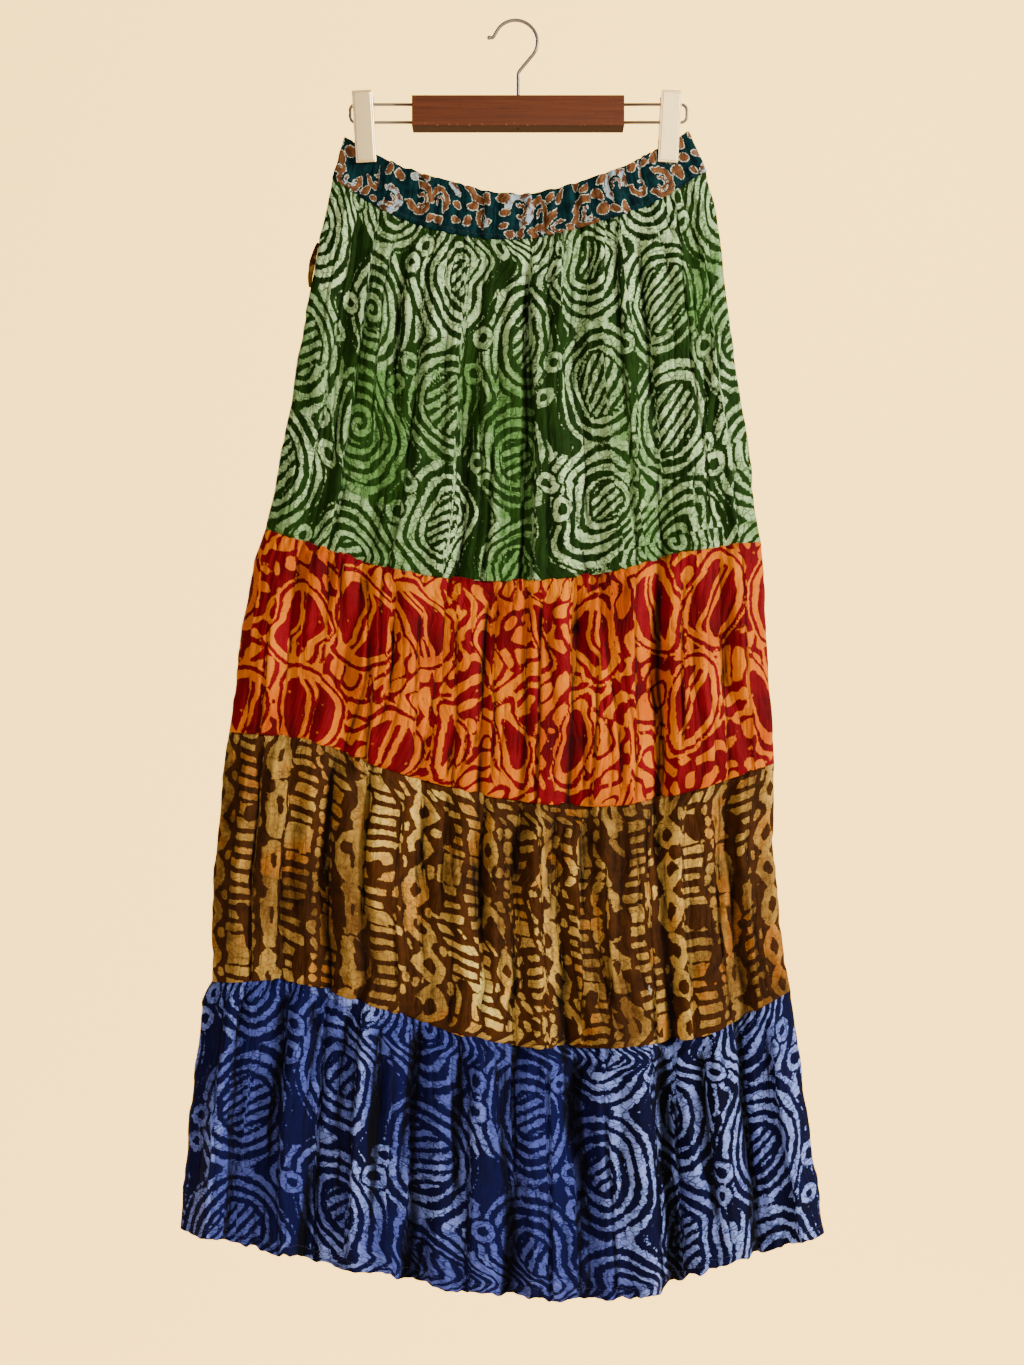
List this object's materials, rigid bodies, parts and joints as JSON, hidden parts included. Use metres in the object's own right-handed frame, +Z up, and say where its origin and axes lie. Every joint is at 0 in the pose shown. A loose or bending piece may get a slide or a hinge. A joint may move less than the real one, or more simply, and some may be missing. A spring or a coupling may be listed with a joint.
{
  "type": "tiered maxi skirt on a clip hanger",
  "caption": "Long skirt of gathered batik tiers on an elastic waistband, hung flat by its band from the clips of a wooden hanger.",
  "frame": {"origin": "inside of the hook's crown, where a rail or nail carries the hanger", "axes": "+Z up, front of the skirt faces -Y, +X to the right seen from the front"},
  "size_m": [0.5522, 0.0723, 1.0924],
  "materials": {
    "band": "teal cotton with rust scrolls edged in white",
    "green_batik": "crinkled cotton, dark green with pale wax-resist whorls",
    "orange_batik": "crinkled cotton, orange with red ovals",
    "brown_batik": "crinkled cotton, brown with tan bars and rings",
    "blue_batik": "crinkled cotton, dark blue with pale blue whorls",
    "stained_wood": "reddish brown stain under satin varnish",
    "steel_wire": "bright plated wire",
    "clip_metal": "satin nickel plate, warm tint"
  },
  "bodies": {
    "root": {"waistband_front": "band", "waistband_back": "band", "tier_1_front": "green_batik", "tier_1_back": "green_batik", "tier_2_front": "orange_batik", "tier_2_back": "orange_batik", "tier_3_front": "brown_batik", "tier_3_back": "brown_batik", "tier_4_front": "blue_batik", "tier_4_back": "blue_batik", "pocket_edge": "brown_batik", "hanger_bar": "stained_wood", "hanger_hook": "steel_wire", "rail_left": "steel_wire", "rail_right": "steel_wire", "clip_left_front_jaw": "clip_metal", "clip_left_back_jaw": "clip_metal", "clip_left_spring": "steel_wire", "clip_right_front_jaw": "clip_metal", "clip_right_back_jaw": "clip_metal", "clip_right_spring": "steel_wire"}
  },
  "joints": []
}
